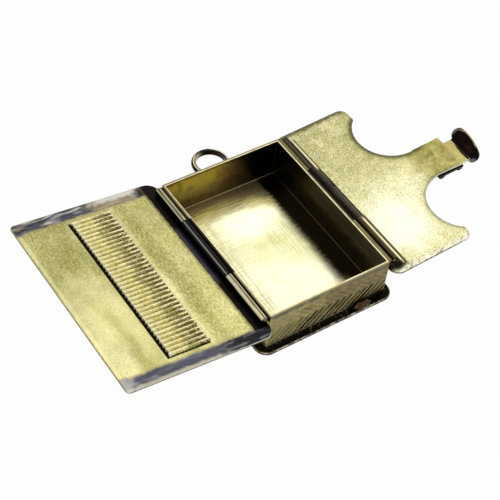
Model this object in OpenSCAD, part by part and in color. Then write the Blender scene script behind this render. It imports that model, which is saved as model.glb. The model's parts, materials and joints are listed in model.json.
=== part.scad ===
// Vesta case for wax matches, shown open: a walled box on a flat base, a lid that carries the striker
// on one long side, and a clasp flap on the other that closes over the lid.
// X runs across the two hinges, Y along them and Z up. The origin is the centre of the base's underside.

/* [Case] */
// Outer width of the wall band, across the hinges
case_w = 33; // [30:0.5:38]
// Outer length of the wall band, along the hinges
case_l = 45.2; // [42:0.1:50]
// Height of the wall band above the base plate
wall_h = 10.6; // [8:0.1:14]
// Sheet thickness of the wall band
wall_t = 0.7; // [0.5:0.05:0.9]
// Outer corner radius of the wall band
wall_corner_r = 0.45; // [0.2:0.05:0.5]
// Sheet thickness of the base plate
base_t = 0.8; // [0.6:0.05:1.2]
// Base plate's overhang past the long walls
base_overhang_x = 2.1; // [1.5:0.1:3]
// Base plate's overhang past the short walls
base_overhang_y = 1.8; // [1:0.1:3]
// Corner radius of the base plate
base_corner_r = 3; // [1.5:0.1:4]

/* [Hinges] */
// Outer radius of every knuckle
knuckle_r = 0.95; // [0.85:0.01:1]
// Radius of both hinge pins
pin_r = 0.45; // [0.3:0.01:0.5]
// Radial clearance between a pin and its knuckles
pin_clear = 0.03; // [0.02:0.01:0.06]
// Height of the domed head at each end of a pin
pin_head_h = 0.2; // [0.1:0.05:0.3]
// Distance from the end of a barrel to the outer face of the short wall
barrel_inset = 0.5; // [0.3:0.05:1]
// Length of the middle knuckle, which belongs to the moving leaf
mid_knuckle_l = 18.1; // [14:0.1:22]
// Middle knuckle's offset from the middle of the case
mid_knuckle_y = 1.35; // [-2:0.05:2]
// Gap between neighbouring knuckles
knuckle_gap = 0.15; // [0.1:0.01:0.3]
// Height of the barrels' crests above the rim
crest_rise = 0.15; // [0:0.01:0.2]
// Half height of the seat that joins a case knuckle to its wall
seat_half_h = 0.5; // [0.3:0.05:0.6]
// Thickness of the lid hinge's seat
lid_seat_t = 0.05; // [0.02:0.01:0.1]
// Thickness of the flap hinge's seat
flap_seat_t = 0.6; // [0.5:0.05:0.8]

/* [Lid] */
// Sheet thickness of the lid
lid_t = 0.5; // [0.4:0.05:0.6]
// Lid's rise above level when it lies fully open, in degrees
lid_tilt = 6.25; // [0:0.25:10]
// Closed lid's overhang past the flap side's wall
lid_overhang = 2.45; // [1.5:0.05:2.5]
// Lid's overhang past each short wall
lid_end_overhang = 3.3; // [2:0.1:4]
// Corner radius of the lid beside its hinge
lid_hinge_corner_r = 3; // [1:0.1:4]
// Corner radius of the lid's free edge
lid_free_corner_r = 1; // [0.5:0.1:2]
// Gap between the crests of the barrels and the lid
lid_gap = 0.1; // [0.08:0.01:0.2]
// Gap between the open lid's hinge edge and the wall that stops it
lid_stop_gap = 0.2; // [0.1:0.01:0.3]
// Half width of the lid knuckle's foot
lid_foot_half_w = 0.6; // [0.5:0.05:0.8]

/* [Striker] */
// Width of the striker, across its ribs' ends
striker_w = 10.2; // [8:0.1:12]
// Gap between the striker's ends and the short walls when the lid is closed
striker_end_gap = 0.5; // [0.3:0.05:1]
// Distance from the lid hinge's axis to the middle of the striker
striker_u = 18.6; // [15:0.1:20]
// Thickness of the striker's backing sheet
striker_back_t = 0.25; // [0.2:0.05:0.4]
// Height of a rib above the backing sheet
rib_h = 0.45; // [0.3:0.05:0.55]
// Number of ribs
rib_count = 36; // [30:1:40]
// Depth of the scallops between the ribs' ends
scallop_depth = 0.35; // [0.2:0.05:0.5]

/* [Flap] */
// Sheet thickness of the flap
flap_t = 0.5; // [0.4:0.05:0.6]
// Flap's rise above level when it lies fully open, in degrees
flap_tilt = 4.36; // [0:0.01:8]
// Gap between the closed lid's outer face and the closed flap
flap_gap = 0.35; // [0.3:0.05:0.6]
// Gap between the closed lid's free edge and the strap that carries the flap
strap_gap = 0.15; // [0.1:0.01:0.2]
// Gap between the open flap's strap and the wall that stops it
flap_stop_gap = 0.1; // [0.08:0.01:0.15]
// Half height of the strap's foot on the knuckle
strap_foot_half_h = 0.4; // [0.3:0.05:0.5]
// Flap's overhang past each short wall
flap_end_overhang = 2.25; // [1:0.05:3]
// Corner radius of the flap beside its hinge
flap_hinge_corner_r = 2.6; // [1:0.1:3]
// Radius of the two round bays that leave the tongue
bay_r = 9; // [7:0.1:9.5]
// Distance from the far bay's centre to the tongue's end
far_bay_back = 8.5; // [7:0.1:10]
// Distance from the near bay's centre to the tongue's end
near_bay_back = 6.9; // [5.5:0.1:9]
// Distance from a horn's end back from its bay's centre
horn_back = 5.5; // [4.5:0.1:6.5]
// Outer corner radius of a horn
horn_corner_r = 2.2; // [1:0.1:3]
// Half width of the tongue at its waist
tongue_waist_half_w = 4.85; // [4:0.05:6]
// Half width of the tongue at its end
tongue_end_half_w = 5.1; // [4.5:0.05:6.5]
// Tongue's offset from the middle of the case
tongue_y = -0.7; // [-1.5:0.1:1]
// Half width of the neck between the tongue and the thumb piece
neck_half_w = 3.85; // [3:0.05:4.2]
// Neck's offset from the middle of the case
neck_y = -1.7; // [-2:0.1:1]
// Length of the neck
neck_l = 2.4; // [1.5:0.1:3]

/* [Thumb piece] */
// Gap between the closed lid's hinge edge and the thumb piece that hooks over it
catch_gap = 0.15; // [0.1:0.01:0.3]
// Sheet thickness of the thumb piece at its rim
thumb_t = 0.6; // [0.5:0.05:0.8]
// Angle by which the thumb piece is turned up from the flap, in degrees
thumb_lean = 40; // [30:1:45]
// Inside radius of the bend that turns the thumb piece up
bend_r = 0.6; // [0.4:0.05:1]
// Half width of the thumb piece's oval
thumb_half_w = 5.15; // [4.2:0.05:5.6]
// Half height of the thumb piece's oval, up its slope
thumb_half_h = 2.2; // [1.9:0.05:2.4]
// Radius of the oval's ends
thumb_end_r = 1.8; // [1.5:0.05:1.85]
// Distance from the bend to the oval's middle, up its slope
thumb_rise = 1.1; // [0.9:0.05:1.2]
// Oval's offset from the middle of the case
thumb_y = -1.7; // [-2:0.1:1]
// Turn of the oval in its own plane, with its far end up, in degrees
thumb_twist = 10.5; // [0:0.5:12]
// Depth of the scoop along the oval's face
dish_depth = 0.15; // [0.1:0.01:0.2]
// Width of the plain border between the scoop and the oval's upper edge
dish_border_w = 0.4; // [0.35:0.05:0.6]
// Scoop's reach below the oval's middle
dish_reach = 0.3; // [0.1:0.05:0.4]
// Width of the relief beside the neck, where the oval reaches back past the bend
neck_relief = 0.1; // [0.05:0.01:0.2]

/* [Tongue stiffener] */
// Radius of the stiffener's two half-round bars
bar_r = 1.1; // [0.8:0.05:1.4]
// Distance between the two bars
bar_spacing = 5.4; // [4:0.1:7]
// Thickness of the web between the bars
web_t = 0.55; // [0.3:0.05:0.7]
// Stiffener's overhang past each side of the tongue's end
stiffener_overhang = 0.25; // [0:0.05:0.5]

/* [Suspension loop] */
// Inner radius of the loop
loop_in_r = 3.65; // [3:0.05:5]
// Width of the loop's wire, across its flat inside
loop_wire_w = 1.1; // [0.8:0.05:1.6]
// Height of the loop's wire
loop_wire_h = 1.35; // [1:0.05:2]
// Least thickness of the loop where it is soldered to the wall
loop_seat_t = 0.35; // [0.2:0.05:0.6]
// Height of the loop's middle plane below the rim
loop_drop = 4.2; // [2:0.1:6]

/* [Hidden] */
$fn = 64;
// Margin by which a cutting solid passes the faces that it cuts
over = 1;
// Number of flats in the thumb piece's bend
bend_steps = 8;

rim_z = base_t + wall_h;
wall_x = case_w / 2;
wall_y = case_l / 2;
bore_r = pin_r + pin_clear;

// Hinge axes and the ends of the knuckles
axis_z = rim_z + crest_rise - knuckle_r;
lid_axis_off = lid_seat_t + knuckle_r;
lid_axis_x = wall_x + lid_axis_off;
flap_axis_off = flap_seat_t + knuckle_r;
flap_axis_x = wall_x + flap_axis_off;
barrel_end_y = wall_y - barrel_inset;
mid_far_y = mid_knuckle_y + mid_knuckle_l / 2;
mid_near_y = mid_knuckle_y - mid_knuckle_l / 2;

// Lid, in its hinge's frame: u runs out along the open lid from the hinge's axis
lid_drop = knuckle_r + lid_gap;
lid_hinge_edge = (lid_axis_off - lid_stop_gap + lid_drop * sin(lid_tilt)) / cos(lid_tilt);
lid_free_x = wall_x + lid_overhang;
lid_free_u = lid_free_x + lid_axis_x;
lid_half_l = wall_y + lid_end_overhang;
striker_half_l = wall_y - wall_t - striker_end_gap;
rib_pitch = 2 * striker_half_l / rib_count;
rib_r = (pow(rib_pitch / 2, 2) + pow(rib_h, 2)) / (2 * rib_h);
scallop_r = (pow(rib_pitch / 2, 2) + pow(scallop_depth, 2)) / (2 * scallop_depth);

// Flap, in its hinge's frame: u runs out along the open flap from the hinge's axis
flap_drop = lid_drop + lid_t + flap_gap;
strap_out = (flap_axis_off - flap_stop_gap - strap_foot_half_h * sin(flap_tilt)) / cos(flap_tilt);
strap_in = lid_free_x - flap_axis_x + strap_gap;
flap_half_l = wall_y + flap_end_overhang;
fold_u = flap_axis_x + lid_axis_x + lid_hinge_edge + catch_gap - flap_gap / tan(thumb_lean);
bend_u = fold_u - bend_r * tan(thumb_lean / 2);
tongue_end_u = bend_u - neck_l;
far_bay = [tongue_end_u - far_bay_back, tongue_y + tongue_waist_half_w + bay_r];
near_bay = [tongue_end_u - near_bay_back, tongue_y - tongue_waist_half_w - bay_r];
far_horn_u = far_bay[0] - horn_back;
near_horn_u = near_bay[0] - horn_back;

// Oval of the thumb piece: two end arcs joined by two wider arcs that are tangent to them
oval_c = thumb_half_w - thumb_end_r;
oval_step = thumb_half_h - thumb_end_r;
oval_k = (pow(oval_c, 2) - pow(oval_step, 2)) / (2 * oval_step);
oval_r = thumb_half_h + oval_k;
oval_tangent = oval_c * oval_r / (oval_r - thumb_end_r);

// Scoop of the thumb piece: part of a cylinder that lies along the oval
dish_x = (thumb_half_h - dish_border_w - dish_reach) / 2;
dish_half_w = dish_x + dish_reach;
dish_r = (pow(dish_half_w, 2) + pow(dish_depth, 2)) / (2 * dish_depth);

loop_out_r = loop_in_r + loop_wire_w;
loop_y = wall_y + loop_seat_t + loop_in_r;
loop_z = rim_z - loop_drop;

pale_brass = [0.80, 0.74, 0.45];
bright_brass = [0.86, 0.76, 0.36];
dark_brass = [0.35, 0.30, 0.16];
black_brass = [0.12, 0.10, 0.08];

// Places children, drawn in the lid hinge's frame, on the open lid
module at_lid_hinge() {
    translate([-lid_axis_x, 0, axis_z]) mirror([1, 0, 0]) rotate([0, -lid_tilt, 0]) children();
}

// Places children, drawn in the flap hinge's frame, on the open flap
module at_flap_hinge() {
    translate([flap_axis_x, 0, axis_z]) rotate([0, -flap_tilt, 0]) children();
}

// Places children on the thumb piece's inner face, with X up its slope from the end of the bend
module at_slope() {
    translate([bend_u, 0, bend_r]) rotate([0, -thumb_lean, 0]) translate([0, 0, -bend_r]) children();
}

// Places children, drawn about the oval's middle with X up the slope, on the thumb piece's inner face
module at_oval() {
    translate([thumb_rise, thumb_y]) rotate(-thumb_twist) children();
}

// Rectangle from corner a to corner b, with radius r_low at its low-x corners and r_high at the others
module round_rect(a, b, r_low, r_high) {
    difference() {
        translate(a) square(b - a);
        for (side = [0, 1]) {
            corner_cut([a[0], side == 0 ? a[1] : b[1]], [1, side == 0 ? 1 : -1], r_low);
            corner_cut([b[0], side == 0 ? a[1] : b[1]], [-1, side == 0 ? 1 : -1], r_high);
        }
    }
}

// Piece outside the arc of radius r at a corner whose sides run inward along the signs of dir
module corner_cut(corner, dir, r) {
    low = [for (i = [0, 1]) dir[i] > 0 ? corner[i] - over : corner[i] - r];
    difference() {
        translate(low) square(r + over);
        translate(corner + dir * r) circle(r);
    }
}

// Cylinder of radius r along Y, from y0 to y1
module rod_y(r, y0, y1) {
    translate([0, y1, 0]) rotate([90, 0, 0]) cylinder(r = r, h = y1 - y0);
}

// Outline in X and Z, drawn out along Y from y0 to y1
module extrude_y(y0, y1) {
    translate([0, y1, 0]) rotate([90, 0, 0]) linear_extrude(y1 - y0) children();
}

// Knuckle of the case along the hinge's axis, with its seat reaching the wall at wall_off along X
module case_knuckle(wall_off, y0, y1) {
    difference() {
        union() {
            rod_y(knuckle_r, y0, y1);
            translate([min(wall_off, 0), y0, -seat_half_h]) cube([abs(wall_off), y1 - y0, 2 * seat_half_h]);
        }
        rod_y(bore_r, y0 - over, y1 + over);
    }
}

// Hinge pin with a low domed head at each end of the barrel
module hinge_pin() {
    head_r = (pow(pin_r, 2) + pow(pin_head_h, 2)) / (2 * pin_head_h);
    rod_y(pin_r, -barrel_end_y, barrel_end_y);
    for (side = [-1, 1])
        intersection() {
            translate([0, side * (barrel_end_y + pin_head_h - head_r), 0]) sphere(head_r);
            rod_y(pin_r, side > 0 ? barrel_end_y : -barrel_end_y - over,
                side > 0 ? barrel_end_y + over : -barrel_end_y);
        }
}

module base_plate() {
    half = [wall_x + base_overhang_x, wall_y + base_overhang_y];
    color(dark_brass) linear_extrude(base_t) round_rect(-half, half, base_corner_r, base_corner_r);
}

module wall_band() {
    half = [wall_x, wall_y];
    inner = half - [wall_t, wall_t];
    color(pale_brass) translate([0, 0, base_t]) linear_extrude(wall_h) difference() {
        round_rect(-half, half, wall_corner_r, wall_corner_r);
        translate(-inner) square(2 * inner);
    }
}

module suspension_loop() {
    // D-shaped section: flat on the inside, an arc on the outside
    arc_r = (pow(loop_wire_h / 2, 2) + pow(loop_wire_w, 2)) / (2 * loop_wire_w);
    color(bright_brass) difference() {
        translate([0, loop_y, loop_z]) rotate_extrude() intersection() {
            translate([loop_out_r - arc_r, 0]) circle(arc_r);
            translate([loop_in_r, -loop_wire_h / 2]) square([loop_wire_w + over, loop_wire_h]);
        }
        translate([-wall_x, wall_y - 2 * loop_out_r, 0]) cube([case_w, 2 * loop_out_r, rim_z]);
    }
}

module lid_hinge_far_knuckle() {
    color(pale_brass) translate([-lid_axis_x, 0, axis_z])
        case_knuckle(lid_axis_off, mid_far_y + knuckle_gap, barrel_end_y);
}

module lid_hinge_near_knuckle() {
    color(pale_brass) translate([-lid_axis_x, 0, axis_z])
        case_knuckle(lid_axis_off, -barrel_end_y, mid_near_y - knuckle_gap);
}

module lid_hinge_pin() {
    color(dark_brass) translate([-lid_axis_x, 0, axis_z]) hinge_pin();
}

module flap_hinge_far_knuckle() {
    color(pale_brass) translate([flap_axis_x, 0, axis_z])
        case_knuckle(-flap_axis_off, mid_far_y + knuckle_gap, barrel_end_y);
}

module flap_hinge_near_knuckle() {
    color(pale_brass) translate([flap_axis_x, 0, axis_z])
        case_knuckle(-flap_axis_off, -barrel_end_y, mid_near_y - knuckle_gap);
}

module flap_hinge_pin() {
    color(dark_brass) translate([flap_axis_x, 0, axis_z]) hinge_pin();
}

module lid_plate() {
    hinge_corner = [-lid_hinge_edge, -lid_half_l];
    free_corner = [lid_free_u, lid_half_l];
    color(pale_brass) at_lid_hinge() translate([0, 0, -lid_drop - lid_t]) linear_extrude(lid_t)
        round_rect(hinge_corner, free_corner, lid_hinge_corner_r, lid_free_corner_r);
}

module lid_knuckle() {
    color(dark_brass) at_lid_hinge() difference() {
        union() {
            rod_y(knuckle_r, mid_near_y, mid_far_y);
            translate([-lid_foot_half_w, mid_near_y, -lid_drop])
                cube([2 * lid_foot_half_w, mid_knuckle_l, lid_drop]);
        }
        rod_y(bore_r, mid_near_y - over, mid_far_y + over);
    }
}

// Row of ribs that run across the striker, with a scallop between the ends of each pair
module striker_plate() {
    scallop_u = striker_w / 2 - scallop_depth + scallop_r;
    color(bright_brass) at_lid_hinge() translate([striker_u, 0, -lid_drop]) difference() {
        translate([-striker_w / 2, 0, 0]) rotate([90, 0, 90]) linear_extrude(striker_w) striker_section();
        for (side = [-1, 1], i = [1 : rib_count - 1])
            translate([side * scallop_u, i * rib_pitch - striker_half_l, -over])
                cylinder(r = scallop_r, h = 2 * over + striker_back_t + rib_h);
    }
}

// Section of the striker along the row: a strip with one low arc for each rib
module striker_section() {
    translate([-striker_half_l, 0]) square([2 * striker_half_l, striker_back_t]);
    for (i = [0 : rib_count - 1])
        intersection() {
            translate([(i + 0.5) * rib_pitch - striker_half_l, striker_back_t + rib_h - rib_r]) circle(rib_r);
            translate([i * rib_pitch - striker_half_l, 0]) square([rib_pitch, 2 * rib_r]);
        }
}

// Flap's outline: a body that ends in two horns, a tongue between two round bays, and a neck
module flap_outline() {
    hinge_u = -strap_out;
    difference() {
        polygon([
            [hinge_u, -flap_half_l], [near_horn_u, -flap_half_l], [near_horn_u, near_bay[1]],
            near_bay, near_bay + [0, bay_r], [tongue_end_u, tongue_y - tongue_end_half_w],
            [tongue_end_u, neck_y - neck_half_w], [bend_u, neck_y - neck_half_w],
            [bend_u, neck_y + neck_half_w], [tongue_end_u, neck_y + neck_half_w],
            [tongue_end_u, tongue_y + tongue_end_half_w], far_bay - [0, bay_r], far_bay,
            [far_horn_u, far_bay[1]], [far_horn_u, flap_half_l], [hinge_u, flap_half_l]
        ]);
        translate(far_bay) circle(bay_r);
        translate(near_bay) circle(bay_r);
        corner_cut([hinge_u, -flap_half_l], [1, 1], flap_hinge_corner_r);
        corner_cut([hinge_u, flap_half_l], [1, -1], flap_hinge_corner_r);
        corner_cut([near_horn_u, -flap_half_l], [-1, 1], horn_corner_r);
        corner_cut([far_horn_u, flap_half_l], [-1, -1], horn_corner_r);
    }
}

module flap_plate() {
    color(pale_brass) at_flap_hinge() translate([0, 0, -flap_drop - flap_t])
        linear_extrude(flap_t) flap_outline();
}

// Middle knuckle of the flap, with the strap that passes the closed lid's free edge
module flap_knuckle() {
    color(dark_brass) at_flap_hinge() difference() {
        union() {
            rod_y(knuckle_r, mid_near_y, mid_far_y);
            translate([-strap_out, mid_near_y, -strap_foot_half_h])
                cube([strap_out, mid_knuckle_l, 2 * strap_foot_half_h]);
            translate([-strap_out, mid_near_y, -flap_drop])
                cube([strap_out - strap_in, mid_knuckle_l, flap_drop]);
        }
        rod_y(bore_r, mid_near_y - over, mid_far_y + over);
    }
}

// Two half-round bars and the web between them, under the end of the tongue
module tongue_stiffener() {
    outer_bar_u = tongue_end_u - bar_r;
    inner_bar_u = outer_bar_u - bar_spacing;
    half_l = tongue_end_half_w + stiffener_overhang;
    color(black_brass) at_flap_hinge() translate([0, 0, -flap_drop - flap_t])
        extrude_y(tongue_y - half_l, tongue_y + half_l) intersection() {
            union() {
                for (u = [inner_bar_u, outer_bar_u])
                    translate([u, 0]) circle(bar_r);
                translate([inner_bar_u, -web_t]) square([bar_spacing, web_t]);
            }
            translate([inner_bar_u - 2 * bar_r, -2 * bar_r]) square([bar_spacing + 4 * bar_r, 2 * bar_r]);
        }
}

// Outline of the thumb piece's oval, clear of the neck below the bend: slope along X, across along Y
module thumb_outline() {
    difference() {
        at_oval() {
            for (side = [-1, 1])
                translate([0, side * oval_c]) circle(thumb_end_r);
            intersection() {
                translate([-oval_k, 0]) circle(oval_r);
                translate([oval_k, 0]) circle(oval_r);
                translate([-thumb_half_h, -oval_tangent]) square(2 * [thumb_half_h, oval_tangent]);
            }
        }
        translate([-2 * thumb_half_h, neck_y - neck_half_w - neck_relief])
            square([2 * thumb_half_h, 2 * (neck_half_w + neck_relief)]);
    }
}

// Side outline of the bend, from the end of the neck to the middle of the oval
module thumb_bend() {
    function around(r, a) = [bend_u, bend_r] + r * [sin(a), -cos(a)];
    up = thumb_rise * [cos(thumb_lean), sin(thumb_lean)];
    turn = [for (i = [0 : bend_steps]) thumb_lean * i / bend_steps];
    polygon(concat(
        [for (a = turn) around(bend_r, a)], [around(bend_r, thumb_lean) + up],
        [around(bend_r + thumb_t, thumb_lean) + up],
        [for (i = [bend_steps : -1 : 0]) around(bend_r + thumb_t, turn[i])]
    ));
}

// Scooped oval that turns up from the neck on a rounded bend, and hooks over the lid's hinge edge
module thumb_piece() {
    color(black_brass) at_flap_hinge() translate([0, 0, -flap_drop]) difference() {
        union() {
            extrude_y(neck_y - neck_half_w, neck_y + neck_half_w) thumb_bend();
            at_slope() translate([0, 0, -thumb_t]) linear_extrude(thumb_t) thumb_outline();
        }
        at_slope() at_oval() translate([dish_x, 0, dish_r - dish_depth])
            rod_y(dish_r, -thumb_half_w - over, thumb_half_w + over, $fn = 240);
    }
}

base_plate();
wall_band();
suspension_loop();
lid_hinge_far_knuckle();
lid_hinge_near_knuckle();
lid_hinge_pin();
flap_hinge_far_knuckle();
flap_hinge_near_knuckle();
flap_hinge_pin();
lid_plate();
lid_knuckle();
striker_plate();
flap_plate();
flap_knuckle();
tongue_stiffener();
thumb_piece();
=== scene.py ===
"""Looks of an open brass vesta case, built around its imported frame.

Shapes are in metres and materials in millimetres.
"""

import json
import math

import bmesh
import bpy
from mathutils import Matrix, Vector, noise


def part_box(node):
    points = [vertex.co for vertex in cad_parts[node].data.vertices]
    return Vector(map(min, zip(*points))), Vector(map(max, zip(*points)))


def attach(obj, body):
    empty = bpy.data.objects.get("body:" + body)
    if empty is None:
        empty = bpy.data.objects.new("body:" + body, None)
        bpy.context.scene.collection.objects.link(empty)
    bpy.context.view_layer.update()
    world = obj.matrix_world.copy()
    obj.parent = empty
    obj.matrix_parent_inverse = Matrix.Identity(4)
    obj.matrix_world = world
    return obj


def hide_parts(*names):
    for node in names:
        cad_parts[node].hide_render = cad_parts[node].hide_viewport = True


MM = 0.001
PER_MM = 1 / MM

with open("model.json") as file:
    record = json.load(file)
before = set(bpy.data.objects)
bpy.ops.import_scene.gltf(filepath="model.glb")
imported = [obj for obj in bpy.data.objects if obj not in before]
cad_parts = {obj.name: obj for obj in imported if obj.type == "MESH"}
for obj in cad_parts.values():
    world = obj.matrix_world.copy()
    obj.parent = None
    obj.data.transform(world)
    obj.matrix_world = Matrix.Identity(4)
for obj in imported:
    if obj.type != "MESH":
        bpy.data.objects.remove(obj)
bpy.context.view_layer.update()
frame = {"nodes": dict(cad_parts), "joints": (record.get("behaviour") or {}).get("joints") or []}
scene = bpy.context.scene
scene.view_settings.view_transform = "Standard"

# Driving places, taken from the frame
wall_low, wall_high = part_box("wall_band")
base_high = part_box("base_plate")[1]
lid_low, lid_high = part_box("lid_plate")
flap_low, flap_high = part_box("flap_plate")
striker_low, striker_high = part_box("striker_plate")
loop_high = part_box("suspension_loop")[1]
lid_knuckle_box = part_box("lid_knuckle")
flap_knuckle_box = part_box("flap_knuckle")
thumb_low, thumb_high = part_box("thumb_piece")
joints = {joint["name"]: joint for joint in frame["joints"]}
lid_axis = Vector(joints["lid_hinge"]["pos_m"])
flap_axis = Vector(joints["flap_hinge"]["pos_m"])
rim_centre = Vector((0, 0, wall_high.z))
WALL_T = 0.7 * MM
inner_x = wall_high.x - WALL_T
inner_y = wall_high.y - WALL_T
LID_TILT = math.radians(6.25)
FLAP_TILT = math.radians(4.36)

# Places in millimetres, for the materials
SHEET_T = 0.5
RIM_X, RIM_Y, RIM_Z = (place * PER_MM for place in wall_high)
LID_FREE_X = lid_low.x * PER_MM
LID_END_Y = lid_high.y * PER_MM
LID_KNUCKLE = [corner.y * PER_MM for corner in lid_knuckle_box]
STRIKER_LEFT, STRIKER_RIGHT = striker_low.x * PER_MM, striker_high.x * PER_MM
STRIKER_NEAR, STRIKER_FAR = striker_low.y * PER_MM, striker_high.y * PER_MM
FLAP_NEAR_Y, FLAP_FAR_Y = flap_low.y * PER_MM, flap_high.y * PER_MM
FLAP_KNUCKLE = [corner.y * PER_MM for corner in flap_knuckle_box]

# Camera, fitted to the photograph's straight edges
CAMERA_AZIMUTH = math.radians(-39.485)
CAMERA_ELEVATION = math.radians(48.008)
CAMERA_ROLL = math.radians(7.885)
CAMERA_DISTANCE = 317.54 * MM
RIM_RIGHT_OF_AXIS = 5.612 * MM
RIM_ABOVE_AXIS = 6.161 * MM
FOCAL_PX = 1391.03
IMAGE_PX = 500
SENSOR_MM = 36


def direction_of(azimuth, elevation):
    """Unit vector at an azimuth from +X towards +Y, and an elevation above level."""
    level = math.cos(elevation)
    return Vector((level * math.cos(azimuth), level * math.sin(azimuth), math.sin(elevation)))


def make_camera():
    back = direction_of(CAMERA_AZIMUTH - math.pi / 2, CAMERA_ELEVATION)
    level_right = Vector((0, 0, 1)).cross(back).normalized()
    level_up = back.cross(level_right)
    right = math.cos(CAMERA_ROLL) * level_right + math.sin(CAMERA_ROLL) * level_up
    up = math.cos(CAMERA_ROLL) * level_up - math.sin(CAMERA_ROLL) * level_right
    data = bpy.data.cameras.new("camera")
    data.sensor_width = SENSOR_MM
    data.lens = FOCAL_PX / IMAGE_PX * SENSOR_MM
    data.clip_start = 10 * MM
    camera = link("camera", data)
    place = rim_centre + CAMERA_DISTANCE * back - RIM_RIGHT_OF_AXIS * right - RIM_ABOVE_AXIS * up
    turn = Matrix((right, up, back)).transposed()
    camera.matrix_world = Matrix.Translation(place) @ turn.to_4x4()
    scene.camera = camera


def feed(tree, socket, value):
    """Links a socket to the value of another, or sets its own value."""
    if isinstance(value, Value):
        value = value.socket
    if isinstance(value, bpy.types.NodeSocket):
        tree.links.new(value, socket)
    else:
        socket.default_value = value


def add_node(tree, kind, inputs=None, **settings):
    """Adds a node with its settings, and feeds its inputs."""
    made = tree.nodes.new(kind)
    for key, value in settings.items():
        setattr(made, key, value)
    for key, value in (inputs or {}).items():
        feed(tree, made.inputs[key], value)
    return made


def operator(operation, swapped=False):
    """A method of Value that puts its number and another through a Math node."""
    if swapped:
        return lambda number, other: number.metal.math(operation, other, number)
    return lambda number, other=0.0: number.metal.math(operation, number, other)


class Value:
    """A number that a material's nodes work out, for use in plain sums."""

    def __init__(self, metal, socket):
        self.metal = metal
        self.socket = socket

    __add__, __radd__ = operator("ADD"), operator("ADD", swapped=True)
    __sub__, __rsub__ = operator("SUBTRACT"), operator("SUBTRACT", swapped=True)
    __mul__, __rmul__ = operator("MULTIPLY"), operator("MULTIPLY", swapped=True)
    __truediv__ = operator("DIVIDE")
    __pow__ = operator("POWER")
    __abs__ = operator("ABSOLUTE")

    def ramp(self, zero_at, one_at):
        """Smooth step, from 0 at zero_at to 1 at one_at."""
        if zero_at > one_at:
            return 1.0 - self.ramp(one_at, zero_at)
        inputs = {"Value": self, "From Min": zero_at, "From Max": one_at}
        made = self.metal.node("ShaderNodeMapRange", inputs, interpolation_type="SMOOTHSTEP")
        return Value(self.metal, made.outputs[0])

    def line(self, middle, half):
        """1 at middle, falling to 0 at half on each side."""
        return self.ramp(middle - half, middle) * self.ramp(middle + half, middle)

    def span(self, low, high, soft):
        """1 from low to high, with soft borders."""
        return self.ramp(low - soft, low) * self.ramp(high + soft, high)

    def jitter(self, clouds, amount):
        """Moved by up to about half of amount each way, for ragged borders."""
        return self + (clouds - 0.5) * amount


# Sockets of a Mix node that mixes colours
MIX_FACTOR, MIX_A, MIX_B, MIX_RESULT = 0, 6, 7, 2


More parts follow.
